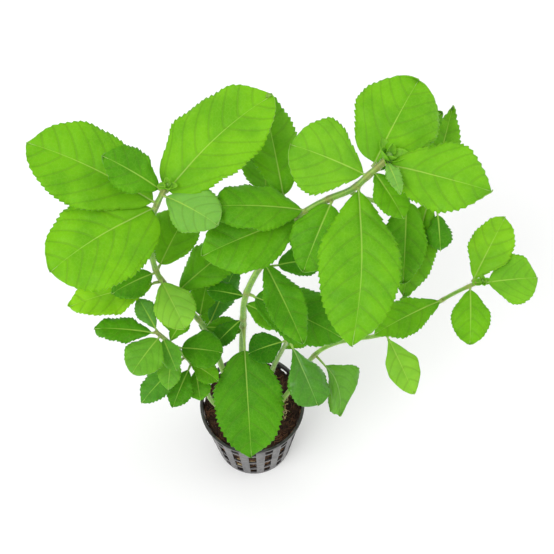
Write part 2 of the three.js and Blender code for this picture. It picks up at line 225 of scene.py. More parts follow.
# Small side leaves: stem, share of its height, azimuth, rise, length and width in mm
SMALL_LEAVES = [
    ("stem_main", 0.47, -28, -6, 17, 13),
    ("stem_main", 0.50, 172, 4, 13, 10),
    ("stem_main", 0.965, -58, -16, 17, 13),
    ("stem_left", 0.44, -10, 6, 13, 11),
    ("stem_left", 0.60, -100, -30, 12, 10),
    ("stem_left", 0.36, 100, 10, 12, 10),
    ("stem_low", 0.90, 60, 10, 11, 9),
    ("stem_low", 0.72, -30, -20, 12, 10),
    ("stem_short", 0.80, 30, 10, 12, 9),
    ("stem_right", 0.52, 70, 20, 12, 9),
]


# --- Reading the frame ---

def welded(node):
    """The corner points of a CAD node, each one once."""
    seen = {}
    for vertex in frame["nodes"][node].data.vertices:
        seen.setdefault(tuple(round(c, 6) for c in vertex.co), vertex.co.copy())
    return list(seen.values())


def clusters(points, reach):
    """Groups of points joined by steps shorter than reach."""
    rest = list(points)
    groups = []
    while rest:
        group = [rest.pop()]
        for point in group:
            near = [other for other in rest if (other - point).length < reach]
            rest = [other for other in rest if (other - point).length >= reach]
            group.extend(near)
        groups.append(group)
    return groups


def middle(points):
    return sum(points, Vector()) / len(points)


def spread(points):
    centre = middle(points)
    return max((point - centre).length for point in points)


def leaf_bones(node):
    """Base, petiole end, midrib points, side direction and half width of a leaf's CAD plate."""
    groups = clusters(welded(node), LEAF_CORNER_REACH)
    ends = sorted((group for group in groups if len(group) > 2), key=spread)
    tip = middle(ends[0])
    neck, base = sorted((middle(group) for group in ends[1:3]), key=lambda point: (point - tip).length)
    chord = (tip - base).normalized()
    pairs = sorted(
        (middle(group) for group in groups if len(group) <= 2), key=lambda point: point.dot(chord))
    spine = [neck]
    side = Vector()
    half = 0
    lift = 0
    for first in range(0, len(pairs) - 2, 3):
        trio = pairs[first:first + 3]
        left, right = max(
            ((a, b) for a in trio for b in trio), key=lambda pair: (pair[0] - pair[1]).length)
        centre = next(point for point in trio if point is not left and point is not right)
        across = left - right
        if across.dot(side) < 0:
            across = -across
        side += across
        spine.append(centre)
        if across.length / 2 > half:
            half = across.length / 2
            lift = ((left + right) / 2 - centre).length / half
    spine.append(tip)
    side.normalize()
    if chord.cross(side).z < 0:
        side = -side
    return {"base": base, "spine": spine, "side": side, "half": half, "lift": lift}


def stem_bones(node):
    """Centre line and radius of a stem's CAD tube, from its foot up."""
    rings = clusters(welded(node), STEM_CORNER_REACH)
    centres = [middle(ring) for ring in rings]
    line = [min(centres, key=lambda centre: centre.z)]
    if node == "stem_branch":
        line = [min(centres, key=lambda centre: centre.x)]
    rest = [centre for centre in centres if centre is not line[0]]
    while rest:
        line.append(min(rest, key=lambda centre: (centre - line[-1]).length))
        rest = [centre for centre in rest if centre is not line[-1]]
    return line, max(spread(ring) for ring in rings)


# --- Curves and meshes ---

def along(points, share):
    """A smooth curve through points, at a share of the way from first to last."""
    spans = len(points) - 1
    place = min(max(share, 0), 1) * spans
    index = min(int(place), spans - 1)
    t = place - index
    b, c = points[index], points[index + 1]
    a = points[index - 1] if index else b * 2 - c
    d = points[index + 2] if index + 2 <= spans else c * 2 - b
    return (b * 2 + (c - a) * t + (a * 2 - b * 5 + c * 4 - d) * t ** 2
            + (b * 3 - a - c * 3 + d) * t ** 3) / 2


def heading(points, share):
    step = 0.01
    return (along(points, share + step) - along(points, share - step)).normalized()


def smooth_step(low, high, value):
    t = min(max((value - low) / (high - low), 0), 1)
    return t * t * (3 - 2 * t)


def sheet(columns, rows, place):
    """A grid from -1 to 1 across and 0 to 1 along, with each point put in its place."""
    bm = bmesh.new()
    bmesh.ops.create_grid(bm, x_segments=columns, y_segments=rows, size=1)
    bm.verts.layers.float_vector.new("blade")
    bm.verts.layers.float_vector.new("tone")
    blade = bm.verts.layers.float_vector["blade"]
    tone = bm.verts.layers.float_vector["tone"]
    for vert in bm.verts:
        vert.co, vert[blade], vert[tone] = place(vert.co.x, (vert.co.y + 1) / 2)
    return bm


def tube(line, radii, sides, rows, marks, shape=None):
    """A closed tube along a smooth line; shape may change the radius round it and along it."""
    frames = []
    across = heading(line, 0).orthogonal().normalized()
    for row in range(rows + 1):
        ahead = heading(line, row / rows)
        across = (across - ahead * across.dot(ahead)).normalized()
        frames.append((along(line, row / rows), across, ahead.cross(across)))

    def place(x, share):
        centre, right, up = frames[round(share * rows)]
        angle = math.pi * (x + 1)
        radius = radii(share)
        if shape:
            radius *= shape(angle, share)
        point = centre + (right * math.cos(angle) + up * math.sin(angle)) * radius
        return point, *marks(share, angle)

    bm = sheet(sides, rows, place)
    bmesh.ops.remove_doubles(bm, verts=bm.verts, dist=0.002 * MM)
    bmesh.ops.holes_fill(bm, edges=[edge for edge in bm.edges if edge.is_boundary], sides=0)
    bmesh.ops.recalc_face_normals(bm, faces=bm.faces)
    return bm


def take_in(target, part, material_index=None):
    """Adds one mesh to another and frees it."""
    if material_index is not None:
        for face in part.faces:
            face.material_index = material_index
    mesh = bpy.data.meshes.new("part")
    part.to_mesh(mesh)
    part.free()
    target.from_mesh(mesh)
    bpy.data.meshes.remove(mesh)


def finish_piece(name, bm, materials, slot, nodes=()):
    """Makes the object, shades it smooth, and rides it on the plant's one body."""
    for face in bm.faces:
        face.smooth = True
    mesh = bpy.data.meshes.new(name)
    bm.to_mesh(mesh)
    bm.free()
    piece = bpy.data.objects.new(name, mesh)
    bpy.context.scene.collection.objects.link(piece)
    for material in materials:
        mesh.materials.append(material)
    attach(piece, "root")
    if nodes:
        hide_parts(*nodes)
    return piece


# --- Materials ---

class Recipe:
    """A node material, written as short steps."""

    def __init__(self, name):
        self.material = bpy.data.materials.new(name)
        self.material.use_nodes = True
        self.tree = self.material.node_tree
        self.shader = self.tree.nodes["Principled BSDF"]

    def node(self, kind, **values):
        made = self.tree.nodes.new(kind)
        for key, value in values.items():
            setattr(made, key, value)
        return made

    def feed(self, node, inputs):
        for key, value in inputs.items():
            if isinstance(value, bpy.types.NodeSocket):
                self.tree.links.new(value, node.inputs[key])
            else:
                node.inputs[key].default_value = value

    def attribute(self, name):
        split = self.node("ShaderNodeSeparateXYZ")
        self.feed(split, {0: self.node("ShaderNodeAttribute", attribute_name=name).outputs["Vector"]})
        return split.outputs

    def math(self, operation, *values):
        made = self.node("ShaderNodeMath", operation=operation)
        self.feed(made, dict(enumerate(values)))
        return made.outputs[0]

    def fade(self, value, low, high, start=0.0, end=1.0):
        made = self.node("ShaderNodeMapRange", interpolation_type="SMOOTHSTEP")
        self.feed(made, {0: value, 1: low, 2: high, 3: start, 4: end})
        return made.outputs[0]

    def mix(self, share, first, second, blend="MIX"):
        made = self.node("ShaderNodeMix", data_type="RGBA", blend_type=blend)
        self.feed(made, {0: share, 6: first, 7: second})
        return made.outputs[2]

    def place(self):
        return self.node("ShaderNodeTexCoord").outputs["Object"]

    def noise(self, scale, detail=3, roughness=0.55):
        made = self.node("ShaderNodeTexNoise")
        self.feed(made, {"Vector": self.place(), "Scale": scale, "Detail": detail, "Roughness": roughness})
        return made.outputs[0]

    def cells(self, scale):
        made = self.node("ShaderNodeTexVoronoi", feature="DISTANCE_TO_EDGE")
        self.feed(made, {"Vector": self.place(), "Scale": scale})
        return made.outputs[0]

    def bump(self, height, strength, distance):
        made = self.node("ShaderNodeBump")
        self.feed(made, {"Height": height, "Strength": strength, "Distance": distance})
        return made.outputs[0]

    def surface(self, **inputs):
        self.feed(self.shader, {key.replace("_", " "): value for key, value in inputs.items()})
        return self.material


def shade(red, green, blue):
    return (red, green, blue, 1.0)


def leaf_material(name, deep, fresh, young, vein, roughness, vein_share, gloss):
    """Leaf tissue: a green that varies with age and place, painted shade on shaded leaves and in the
    grooves of the sunken veins, a pale midrib and a fine net.
    """
    recipe = Recipe(name)
    across, up, edge = recipe.attribute("blade")
    youth, tone_and_shade, phase = recipe.attribute("tone")
    patches = recipe.fade(recipe.noise(75, 4, 0.6), 0.34, 0.64, 0.2, 0.9)
    tissue = recipe.mix(patches, shade(*deep), shade(*fresh))
    tissue = recipe.mix(youth, tissue, shade(*young))
    tissue = recipe.mix(recipe.fade(edge, 0.75, 1.0, 0.0, 0.3), tissue, shade(*fresh))
    from_midrib = recipe.math("ABSOLUTE", across)
    midrib_width = recipe.fade(up, 0.0, 1.0, 0.42, 0.1)
    midrib = recipe.fade(recipe.math("DIVIDE", from_midrib, midrib_width), 0.35, 1.0, 1.0, 0.0)
    midrib = recipe.math("MULTIPLY", midrib, recipe.fade(up, 0.3, 1.0, 1.0, 0.6))
    from_vein = recipe.math("PINGPONG", phase, 0.5)
    vein_line = recipe.fade(from_vein, 0.01, 0.05, 1.0, 0.0)
    vein_line = recipe.math("MULTIPLY", vein_line, recipe.fade(edge, 0.5, 0.95, 0.15, 0.02))
    net = recipe.fade(recipe.cells(620), 0.0, 0.09, 0.12, 0.0)
    # Painted shade in the vein grooves, with slight painted light on the swells between them
    vein_groove_shade = recipe.fade(from_vein, 0.0, 0.13, 0.83, 1.03)
    # Painted shade: a per-leaf factor multiplies the green, partly the leaf's own tone and partly shade on
    # leaves that lie in shade
    tone_and_shade_colour = recipe.node("ShaderNodeCombineXYZ")
    recipe.feed(tone_and_shade_colour, {0: recipe.math("POWER", tone_and_shade, 1.8), 1: tone_and_shade, 2: tone_and_shade})
    tissue = recipe.mix(1.0, tissue, tone_and_shade_colour.outputs[0], "MULTIPLY")
    tissue = recipe.mix(1.0, tissue, vein_groove_shade, "MULTIPLY")
    lines = recipe.math("MAXIMUM", midrib, recipe.math("MAXIMUM", vein_line, net))
    colour = recipe.mix(recipe.math("MULTIPLY", lines, vein_share), tissue, shade(*vein))
    pebble = recipe.math("ADD", recipe.cells(620), recipe.math("MULTIPLY", recipe.noise(1900, 2), 0.35))
    return recipe.surface(
        Base_Color=colour,
        Roughness=recipe.fade(recipe.noise(240, 2), 0.3, 0.7, roughness - 0.06, roughness + 0.08),
        Normal=recipe.bump(pebble, 0.35, 0.12 * MM),
        Specular_IOR_Level=gloss,
        Subsurface_Weight=0.2,
        Subsurface_Radius=(0.25, 0.6, 0.03),
        Subsurface_Scale=1.2 * MM,
    )


def stem_material():
    """Green stem with paler ridges, fine streaks and reddish nodes."""
    recipe = Recipe("stem_skin")
    red, ridge, _ = recipe.attribute("tone")
    streaks = recipe.fade(recipe.noise(320, 4), 0.35, 0.7)
    skin = recipe.mix(streaks, shade(0.13, 0.33, 0.02), shade(0.23, 0.46, 0.045))
    skin = recipe.mix(ridge, skin, shade(0.42, 0.66, 0.12))
    skin = recipe.mix(red, skin, shade(0.32, 0.12, 0.07))
    return recipe.surface(
        Base_Color=skin,
        Roughness=0.5,
        Normal=recipe.bump(recipe.noise(1200, 3), 0.3, 0.15 * MM),
        Subsurface_Weight=0.2,
        Subsurface_Radius=(0.4, 0.6, 0.15),
        Subsurface_Scale=1.0 * MM,
        Sheen_Weight=0.3,
    )


def hair_material():
    recipe = Recipe("stem_hair")
    tint = recipe.mix(recipe.noise(400, 1), shade(0.72, 0.78, 0.6), shade(0.85, 0.88, 0.78))
    return recipe.surface(Base_Color=tint, Roughness=0.5)


def pot_material():
    """Moulded dark plastic, scuffed and dusty, with painted shade darkening a band at the rim."""
    recipe = Recipe("pot_plastic")
    scuffs = recipe.fade(recipe.noise(260, 5, 0.7), 0.42, 0.62)
    dust = recipe.fade(recipe.noise(55, 3), 0.35, 0.7)
    tint = recipe.mix(scuffs, shade(0.022, 0.021, 0.023), shade(0.095, 0.090, 0.092))
    tint = recipe.mix(recipe.math("MULTIPLY", dust, 0.45), tint, shade(0.15, 0.14, 0.135))
    place = recipe.node("ShaderNodeSeparateXYZ")
    recipe.feed(place, {0: recipe.place()})
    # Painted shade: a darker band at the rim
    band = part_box("net_pot")[1].z - RIM_SHADE_DEPTH
    rim = recipe.fade(place.outputs[2], band, band + RIM_SHADE_FADE, 0, 0.6)
    tint = recipe.mix(rim, tint, shade(0.02, 0.019, 0.02))
    return recipe.surface(
        Base_Color=tint,
        Roughness=recipe.fade(scuffs, 0, 1, 0.32, 0.52),
        Normal=recipe.bump(recipe.noise(900, 4), 0.22, 0.2 * MM),
        Specular_IOR_Level=0.6,
    )


def coir_material(name, dark, light):
    recipe = Recipe(name)
    grain = recipe.fade(recipe.noise(420, 5, 0.7), 0.35, 0.65)
    clods = recipe.fade(recipe.noise(130, 3), 0.35, 0.65, 0.55, 1.1)
    tint = recipe.mix(1.0, recipe.mix(grain, shade(*dark), shade(*light)), clods, "MULTIPLY")
    return recipe.surface(
        Base_Color=tint,
        Roughness=0.86,
        Normal=recipe.bump(recipe.noise(1500, 4), 0.7, 0.4 * MM),
        Specular_IOR_Level=0.25,
    )


def fibre_material(name, first, second):
    recipe = Recipe(name)
    tint = recipe.mix(recipe.fade(recipe.noise(210, 3), 0.35, 0.65), shade(*first), shade(*second))
    return recipe.surface(Base_Color=tint, Roughness=0.62, Specular_IOR_Level=0.35)


LEAF_TOP = leaf_material(
    "leaf_upper_face", (0.088, 0.31, 0.002), (0.156, 0.445, 0.003), (0.21, 0.46, 0.085),
    (0.36, 0.62, 0.08), 0.5, 0.8, 0.1)
LEAF_SHINE = leaf_material(
    "leaf_glossy_face", (0.095, 0.31, 0.006), (0.135, 0.40, 0.010), (0.24, 0.42, 0.16),
    (0.38, 0.62, 0.16), 0.34, 0.6, 0.3)
LEAF_BACK = leaf_material(
    "leaf_under_face", (0.15, 0.35, 0.03), (0.20, 0.43, 0.05), (0.27, 0.48, 0.12),
    (0.42, 0.60, 0.20), 0.58, 0.9, 0.15)
STEM_SKIN = stem_material()
STEM_HAIR = hair_material()
POT_PLASTIC = pot_material()
COIR = coir_material("coir_matter", (0.018, 0.009, 0.006), (0.085, 0.040, 0.022))
# The fibres on top of the plug are darker than the fibres on its side
COIR_FIBRE_DARK = fibre_material("coir_fibre_top_dark", (0.035, 0.014, 0.007), (0.19, 0.075, 0.034))
COIR_FIBRE = fibre_material("coir_fibre_side_light", (0.07, 0.030, 0.012), (0.42, 0.22, 0.075))
ROOT_SKIN = fibre_material("root_skin", (0.36, 0.24, 0.09), (0.58, 0.50, 0.26))


# --- Leaves ---

def outline(share, widest=0.45, foot=0.8, point=0.8):
    """Half width of a blade at a share of its length; small foot and point make full, rounded ends."""
    if share < widest:
        return math.sin(math.pi / 2 * (share / widest) ** 1.05) ** foot
    return math.cos(math.pi / 2 * ((share - widest) / (1 - widest)) ** 1.25) ** point


def tooth(share, count, seed):
    """Depth of the notch in front of each tooth of the margin, from 0 on its point to 1."""
    place = share * count
    step = place - math.floor(place + 1e-6)
    strength = 0.7 + 0.5 * noise.noise(Vector((math.floor(place + 1e-6), seed, 0)))
    ends = smooth_step(0.03, 0.14, share) * (1 - 0.6 * smooth_step(0.85, 1.0, share))
    return (1 - step) * strength * ends


def small_leaf_bones(line, at, azimuth, rise, length, width):
    """The bones of a small leaf that stands on a stem line, in the form that leaf_bones gives."""
    turn, lift = math.radians(azimuth), math.radians(rise)
    ahead = Vector((math.cos(turn) * math.cos(lift), math.sin(turn) * math.cos(lift), math.sin(lift)))
    side = Vector((-math.sin(turn), math.cos(turn), 0))
    up = ahead.cross(side)
    base = along(line, at) + ahead * 1.2 * MM
    spine = []
    for step in range(7):
        share = step / 6
        bow = up * length * 0.22 * (share - share ** 2)
        spine.append(base + ahead * (2 * MM + length * share) + bow)
    return {"base": base, "spine": spine, "side": side, "half": width / 2, "lift": 0.14}


class Leaf:
    """One leaf: its measures, its ways, and the chance differences that set it apart."""

    def __init__(self, node, bones, rng):
        self.node = node
        self.bones = bones
        self.way = {**USUAL_WAY, **LEAF_WAYS.get(node, {})}
        neck, base = bones["spine"][0], bones["base"]
        self.foot = neck.lerp(base, min(1.0, self.way["sessile"] * MM / (neck - base).length))
        self.spine = [self.foot] + [self.foot.lerp(point, self.way["long"]) for point in bones["spine"][1:]]
        self.length = sum((b - a).length for a, b in zip(self.spine, self.spine[1:]))
        self.size = min(1.0, self.length / FULL_LEAF)
        self.teeth = max(6, round(self.length / (TOOTH_PITCH * (0.55 + 0.45 * self.size))))
        self.rows = self.teeth * TOOTH_ROWS
        self.veins = max(4, round(self.length / (VEIN_PITCH * (0.5 + 0.5 * self.size))))
        self.notch = TOOTH_DEPTH * (0.4 + 0.6 * self.size) * self.way["teeth"] * rng.uniform(0.85, 1.15)
        self.ripples = [rng.uniform(0, math.tau) for _ in range(3)]
        self.lean = self.way["lean"] + rng.uniform(-0.05, 0.05)
        self.seed = rng.uniform(0, 50)
        # The leaf's own tone together with painted shade for a shaded leaf, as a factor on its green
        self.tint = self.way["tone_and_shade"] + rng.uniform(-0.05, 0.05)
        self.rungs = [self.rung(row / self.rows) for row in range(self.rows + 1)]

    def rung(self, share):
        """Midrib point, left and up directions, and the reach of the left and right half."""
        way, side = self.way, self.bones["side"]
        half = self.bones["half"] * way["wide"]
        ahead = heading(self.spine, share)
        left = Matrix.Rotation(math.radians(way["twist"]) * (share - 0.3), 3, ahead) @ side
        left = (left - ahead * left.dot(ahead)).normalized()
        sway = side * MM * (way["sweep"] * math.sin(math.pi * share) * 0.5 + way["hook"] * share ** 2)
        reaches = [
            max(half * width * outline(share, way["widest"], fullness, way["point"]),
                PETIOLE_RADIUS * 0.9 * (1 - share))
            for width, fullness in ((1 + self.lean, way["feet"][0]), (1 - self.lean, way["feet"][1]))]
        return along(self.spine, share) + sway, left, ahead.cross(left), reaches

    def distance_out(self, x, share, reach):
        """How far a point lies from the midrib, in length and as a share, with the teeth cut in."""
        hand = 1 if x > 0 else -1
        inner = abs(x) * (0.72 + 0.28 * abs(x))
        cut = self.notch * tooth(share, self.teeth, self.seed + 9 * hand) * inner ** 5
        cut += 0.045 * reach * noise.noise(Vector((share * 5, self.seed, hand))) * inner ** 2
        return (reach - cut) * inner, inner

    def relief(self, share, out, inner, phase):
        """Height of the tissue, which swells between the veins and sinks along the midrib."""
        open_part = math.sin(math.pi * inner ** 0.8) if inner < 1 else 0
        quilt = abs(math.sin(math.pi * phase)) ** 0.7 * open_part * smooth_step(0, 0.12, share)
        quilt *= (1 - smooth_step(0.85, 1.0, share)) * QUILT_HEIGHT * self.size
        gutter = GUTTER_DEPTH * self.size * math.exp(-(out / GUTTER_WIDTH) ** 2) * (1 - 0.7 * share)
        return quilt - gutter

    def lie(self, share, inner, reach, ripple):
        """Height of the whole blade: its waves, its bowl, its curled margin and its dipping tip."""
        wave = math.sin(math.tau * 1.6 * share + ripple) * MARGIN_WAVE
        wave += math.sin(math.tau * 3.7 * share + self.ripples[2]) * MARGIN_RIPPLE
        margin = wave * self.size * inner ** 3 * smooth_step(0.05, 0.3, share)
        bowl = self.bones["lift"] * reach * inner ** 1.4 - self.way["curl"] * 0.3 * reach * inner ** 2.6
        return margin + bowl - self.way["curl"] * TIP_DIP * smooth_step(0.75, 1.0, share) ** 2

    def blade_point(self, x, share):
        """A point of the upper face and its marks; x runs from -1 at the right margin to 1 at the left."""
        centre, left, up, reaches = self.rungs[round(share * self.rows)]
        hand, half = (1, 0) if x > 0 else (-1, 1)
        out, inner = self.distance_out(x, share, reaches[half])
        from_mid = inner * reaches[half] / self.length
        offset = 0.18 if x > 0 else 0
        phase = self.veins * (share - 0.55 * from_mid - 1.9 * from_mid ** 2) + offset
        fold = self.way["left" if x > 0 else "right"]
        bend = FULL_FOLD * fold * (1 - 0.85 * smooth_step(0.7, 1.0, share))
        hinge = 0 if bend > 0 else FOLD_START
        bent = max(0.0, inner - hinge) / (1 - hinge) * out
        rise = self.relief(share, out, inner, phase) + bent * math.sin(bend)
        rise += self.lie(share, inner, reaches[half], self.ripples[half])
        flat = out - bent * (1 - math.cos(bend))
        point = centre + left * hand * flat + up * rise
        return point, (hand * out / MM, share, inner), (self.way["youth"], self.tint, phase)

    def blade(self):
        """The blade as a thin closed sheet, upper face first."""
        half = self.bones["half"] * self.way["wide"]
        blade = sheet(2 * max(5, round(half / COLUMN_WIDTH)), self.rows, self.blade_point)
        bmesh.ops.remove_doubles(blade, verts=blade.verts, dist=0.004 * MM)
        blade.normal_update()
        upward = (self.spine[-1] - self.spine[0]).normalized().cross(self.bones["side"])
        if sum(face.normal.dot(upward) for face in blade.faces) < 0:
            bmesh.ops.reverse_faces(blade, faces=blade.faces)
        upper = set(blade.faces)
        bmesh.ops.solidify(blade, geom=list(blade.faces), thickness=BLADE_THICKNESS)
        for face in blade.faces:
            face.material_index = 0 if face in upper else 1
        bmesh.ops.recalc_face_normals(blade, faces=blade.faces)
        return blade

    def petiole(self):
        """The petiole, from inside the stem to its thin end under the blade's tip."""
        base = self.bones["base"]
        away = self.foot - base
        start = base - (self.bones["spine"][0] - base).normalized() * PETIOLE_OVERLAP
        under = []
        for step in range(RIB_POINTS):
            share = step / (RIB_POINTS - 1)
            centre, _, up, _ = self.rungs[round(share * self.rows)]
            sink = GUTTER_SINK * self.size * (1 - 0.7 * share)
            under.append(centre - up * (BLADE_THICKNESS + RIB_SINK + sink))
        line = [start] + ([base + away * 0.5] if away.length > MM else []) + under
        neck = max(0.04, (len(line) - RIB_POINTS) / (len(line) - 1))
        girth = PETIOLE_RADIUS * (0.6 + 0.4 * self.size)

        def radii(share):
            if share < neck:
                return girth * (1.25 - 0.4 * share / neck)
            return girth * 0.85 + (RIB_TIP_RADIUS - girth * 0.85) * ((share - neck) / (1 - neck)) ** 0.8

        def marks(share, angle):
            return (0.0, share, 0.0), (0.35 * (1 - smooth_step(0.0, 0.1, share)), 0.55, 0.0)

        reach = sum((b - a).length for a, b in zip(line, line[1:]))
        return tube(line, radii, PETIOLE_SIDES, max(14, round(reach / RIB_ROW)), marks)

    def finish(self):
        piece = self.blade()
        take_in(piece, self.petiole(), 2)
        materials = [LEAF_SHINE if self.way["gloss"] else LEAF_TOP, LEAF_BACK, STEM_SKIN]
        if self.node in frame["nodes"]:
            return finish_piece("wisteria_" + self.node, piece, materials, slot_of(self.node), [self.node])
        return finish_piece("wisteria_" + self.node, piece, materials, "young_leaf")


def slot_of(node):
    slots = {part["node"]: part["material_slot"] for part in frame["record"]["subparts"]}
    return slots[node]


# --- Stems ---

def make_stem(node, rng, joints):
    """A ridged stem that swells and reddens at its nodes; gives what the hairs need to stand on it."""
    line, radius = stem_bones(node)
    length = sum((b - a).length for a, b in zip(line, line[1:]))
    rows = round(length / STEM_ROW)
    turn = rng.uniform(0, math.tau)
    knots = joints.get(node, [])

    def swelling(share):
        return sum(math.exp(-((share - knot) * length / NODE_LENGTH) ** 2) for knot in knots)

    def radii(share):
        return radius * (1.02 - (1 - STEM_TAPER) * share) * (1 + 0.16 * min(1, swelling(share)))

    def shape(angle, share):
        ridge = math.cos(4 * (angle + turn))
        skin = noise.noise(Vector((math.cos(angle), math.sin(angle) + turn, share * 40)))
        return 1 + 0.07 * ridge + 0.03 * skin

    def marks(share, angle):
        ridge = smooth_step(0.3, 1.0, math.cos(4 * (angle + turn)))
        red = min(0.6, swelling(share) * 0.6) * (0.55 + 0.45 * noise.noise(Vector((share * 25, 0, turn))))
        pale = 0.35 * (1 - smooth_step(0.1, 0.4, share))
        return (0.0, share, 0.0), (red, max(0.75 * ridge, pale), 0.0)

    stem = tube(line, radii, STEM_SIDES, rows, marks, shape)
    finish_piece("skin_" + node, stem, [STEM_SKIN], slot_of(node), [node])
    return line, radii, length


def make_hairs(name, stems, rng):
    """Fine white hairs that stand out all round the stems."""
    hairs = bmesh.new()
    for line, radii, length in stems:
        tuft = bmesh.new()
        for number in range(round(length / MM * HAIRS_PER_MM)):
            share = rng.uniform(BARE_FOOT if line[0].z < PLUG_HIGH.z + MM else 0.02, 1.0)
            ahead = heading(line, share)
            out = Matrix.Rotation(rng.uniform(0, math.tau), 3, ahead) @ ahead.orthogonal().normalized()
            foot = along(line, share) + out * radii(share) * 0.95
            tilt = (out + ahead * rng.uniform(-0.3, 0.5)).normalized()
            hair = tilt * HAIR_LENGTH * rng.uniform(0.5, 1.0)
            turn = tilt.to_track_quat("Z", "Y").to_matrix().to_4x4()
            bmesh.ops.create_cone(
                tuft, segments=3, radius1=HAIR_RADIUS, radius2=HAIR_RADIUS * 0.2, depth=hair.length,
                cap_ends=True, matrix=Matrix.Translation(foot + hair / 2) @ turn)
            if number % HAIRS_PER_TUFT == HAIRS_PER_TUFT - 1:
                take_in(hairs, tuft)
                tuft = bmesh.new()
        take_in(hairs, tuft)
    return finish_piece(name, hairs, [STEM_HAIR], "stem")


# --- Shoot tips ---

def tip_leaves(centre, lean, size, whorls, rng):
    """Small folded leaves, pair by pair, round a shoot tip that points along lean."""
    tuft = bmesh.new()
    turn = lean.to_track_quat("Z", "Y").to_matrix()
    for whorl in range(whorls):
        for half in range(2):
            azimuth = whorl * math.pi / 2 + half * math.pi + rng.uniform(-0.3, 0.3)
            out = Vector((math.cos(azimuth), math.sin(azimuth), 0))
            rise = 0.25 + 0.5 * whorl
            ahead = turn @ (out * (1 - 0.2 * whorl) + Vector((0, 0, rise))).normalized()
            side = ahead.cross(lean).normalized()
            up = side.cross(ahead).normalized()
            reach = size * (1.3 - 0.22 * whorl) * rng.uniform(0.85, 1.15)

            def surface(x, share, ahead=ahead, side=side, up=up, reach=reach):
                wide = 0.34 * reach * outline(share, 0.45, 0.6, 0.8)
                wide -= 0.03 * reach * tooth(share, 9, reach) * abs(x) ** 4
                point = centre + ahead * reach * share + side * wide * x
                point += up * (wide * 0.75 * x * x - 0.35 * reach * (share - share ** 2))
                tone = (YOUNG_LEAF_YOUTH, YOUNG_LEAF_BRIGHT, share * 5 - abs(x))
                return point, (x * wide / MM, share, abs(x)), tone

            leaflet = sheet(8, 36, surface)
            bmesh.ops.remove_doubles(leaflet, verts=leaflet.verts, dist=0.004 * MM)
            bmesh.ops.solidify(leaflet, geom=list(leaflet.faces), thickness=YOUNG_LEAF_THICKNESS)
            bmesh.ops.recalc_face_normals(leaflet, faces=leaflet.faces)
            take_in(tuft, leaflet, 0)
    heart = bmesh.new()
    bmesh.ops.create_uvsphere(heart, u_segments=16, v_segments=10, radius=size * 0.26)
    bmesh.ops.scale(heart, vec=Vector((1, 1, 1.6)), verts=heart.verts)
    bmesh.ops.translate(heart, vec=centre + lean * size * 0.1, verts=heart.verts)
    take_in(tuft, heart, 1)
    return tuft


def make_bud(node, rng):
    """A shoot tip in place of its closed CAD bud."""
    low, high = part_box(node)
    size = (high - low).length * 0.5
    centre = (low + high) / 2 - Vector((0, 0, size * 0.55))
    tuft = tip_leaves(centre, Vector((0, -0.2, 1)).normalized(), size, 3, rng)
    return finish_piece("shoot_" + node, tuft, [LEAF_TOP, STEM_SKIN], slot_of(node), [node])


def make_main_shoot(line, rng):
    """The young leaves that crowd the tip of the main stem."""
    lean = (heading(line, 1.0) + Vector((0, -0.25, 0.9))).normalized()
    tuft = tip_leaves(line[-1] - lean * 0.8 * MM, lean, MAIN_SHOOT_SIZE, 3, rng)
    return finish_piece("shoot_main", tuft, [LEAF_TOP, STEM_SKIN], "young_leaf")


# --- Coir plug ---

PLUG_LOW, PLUG_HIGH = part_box("coir_plug")
PLUG_FOOT = max(
    math.hypot(point.x, point.y) for point in welded("coir_plug") if point.z < PLUG_LOW.z + 0.1 * MM)


def plug_radius(height):
    """The plug's side, which tapers with the pot."""
    return PLUG_FOOT + (PLUG_HIGH.x - PLUG_FOOT) * (height - PLUG_LOW.z) / (PLUG_HIGH.z - PLUG_LOW.z)


def make_plug():
    """The plug as a lumpy body of revolution; its surface creeps up the inside of the pot's wall."""
    low, top = PLUG_LOW.z, PLUG_HIGH.z
    brim = top + COIR_CREEP
    section = [(PLUG_FOOT * step / 8, low) for step in range(8)]
    for step in range(41):
        height = low + (brim - low) * step / 40
        section.append((plug_radius(height) - COIR_GAP, height))
    for step in range(1, 16):
        share = step / 16
        rise = COIR_CREEP * (1 - smooth_step(0.0, 0.3, share)) - 1.0 * MM * (1 - share) ** 2
        section.append(((plug_radius(brim) - COIR_GAP) * (1 - share), top + max(rise, -1.2 * MM)))
    section.append((0, top))
    plug = bmesh.new()
    profile = [plug.verts.new((reach, 0, height)) for reach, height in section]
    edges = [plug.edges.new(pair) for pair in zip(profile, profile[1:])]
    bmesh.ops.spin(plug, geom=profile + edges, cent=(0, 0, 0), axis=(0, 0, 1), angle=math.tau,
                   steps=PLUG_STEPS, use_merge=True)
    bmesh.ops.remove_doubles(plug, verts=plug.verts, dist=0.01 * MM)
    bmesh.ops.recalc_face_normals(plug, faces=plug.faces)
    plug.normal_update()
    for vert in plug.verts:
        rough = noise.fractal(vert.co * 420, 0.8, 2.2, 4)
        inside = math.hypot(vert.co.x, vert.co.y) < plug_radius(vert.co.z) - 0.5 * MM
        room = 1.0 * MM if inside else 0.3 * MM
        if vert.co.z > low + 0.5 * MM:
            vert.co += vert.normal * min(rough * room, room * 0.6)
    return finish_piece("coir_body", plug, [COIR], "coir", ["coir_plug"])


def strand(target, points, radius, sides=4):
    """A thin closed strand through a few points."""
    steps = 3 * (len(points) - 1)

    def marks(share, angle):
        return (0.0, share, 0.0), (0.0, 0.0, 0.0)

    take_in(target, tube(points, lambda share: radius * (1.1 - 0.7 * share), sides, steps, marks))


